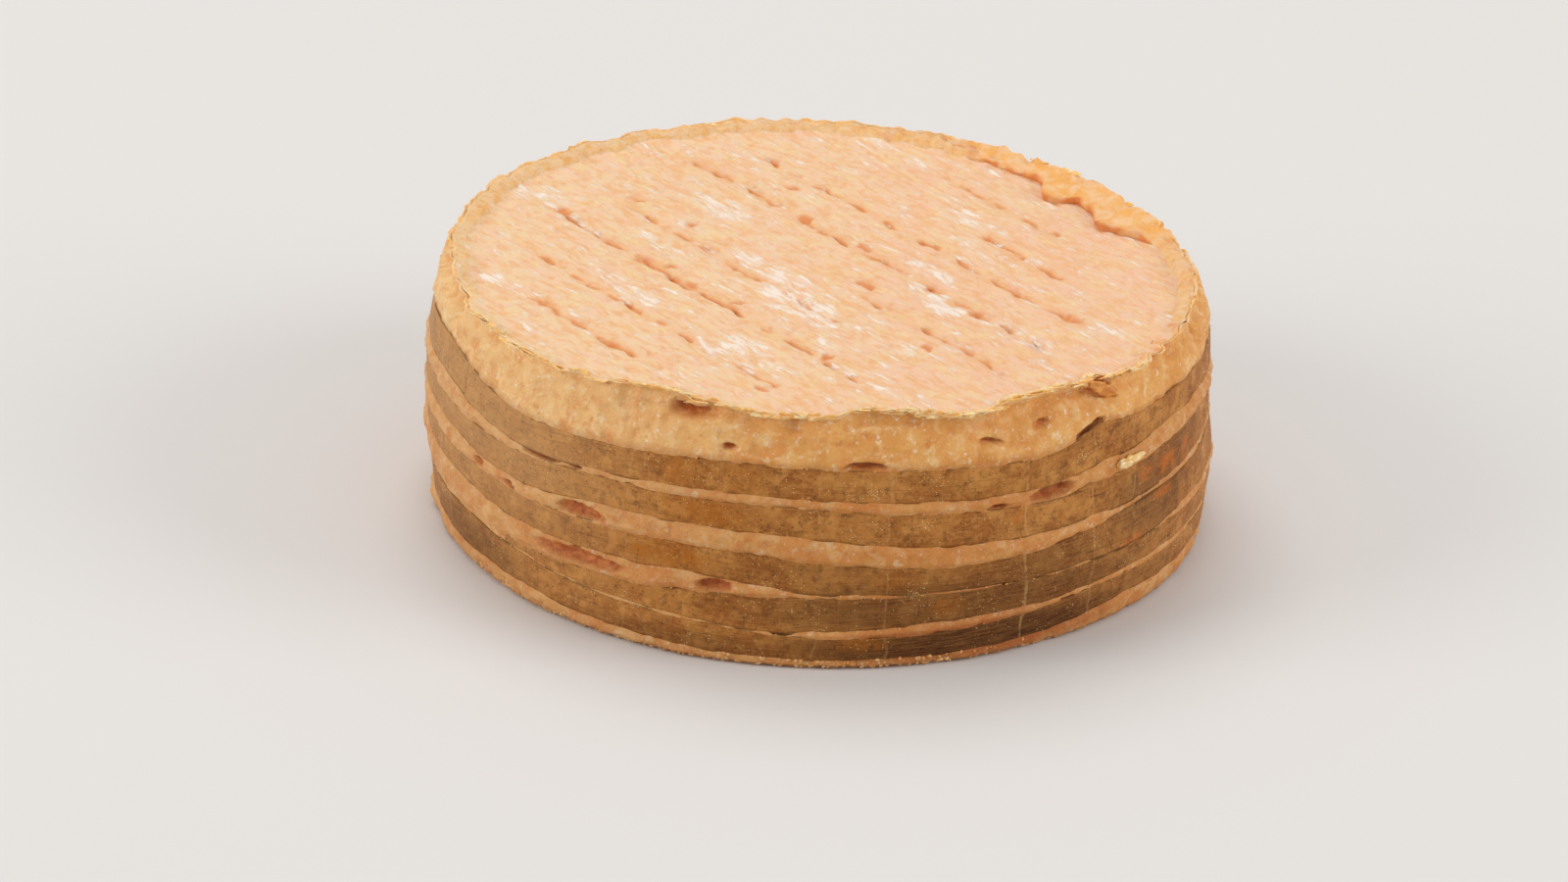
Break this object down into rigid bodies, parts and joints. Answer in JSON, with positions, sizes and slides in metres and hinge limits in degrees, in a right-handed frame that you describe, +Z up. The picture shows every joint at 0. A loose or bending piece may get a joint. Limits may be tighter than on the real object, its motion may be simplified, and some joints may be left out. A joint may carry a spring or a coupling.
{
  "type": "washed rind cheese",
  "caption": "Whole round washed rind cheese with a furrowed peach top, a ragged folded lip and flat reed strips bound round its side, resting on a flat base.",
  "frame": {"origin": "centre of the flat base, on the surface that the wheel rests on", "axes": "+Z up through the wheel; -Y towards the side that the picture shows; +X to that side's right"},
  "size_m": [0.1207, 0.1212, 0.0407],
  "materials": {
    "rind": "moist washed rind, peach to amber, with pale bloom",
    "reed": "dried flat reed, tan to brown, with fine lengthwise fibres"
  },
  "bodies": {
    "root": {"cheese_wheel": "rind", "reed_band_1": "reed", "reed_band_2": "reed", "reed_band_3": "reed", "reed_band_4": "reed", "reed_band_5": "reed"}
  },
  "joints": []
}
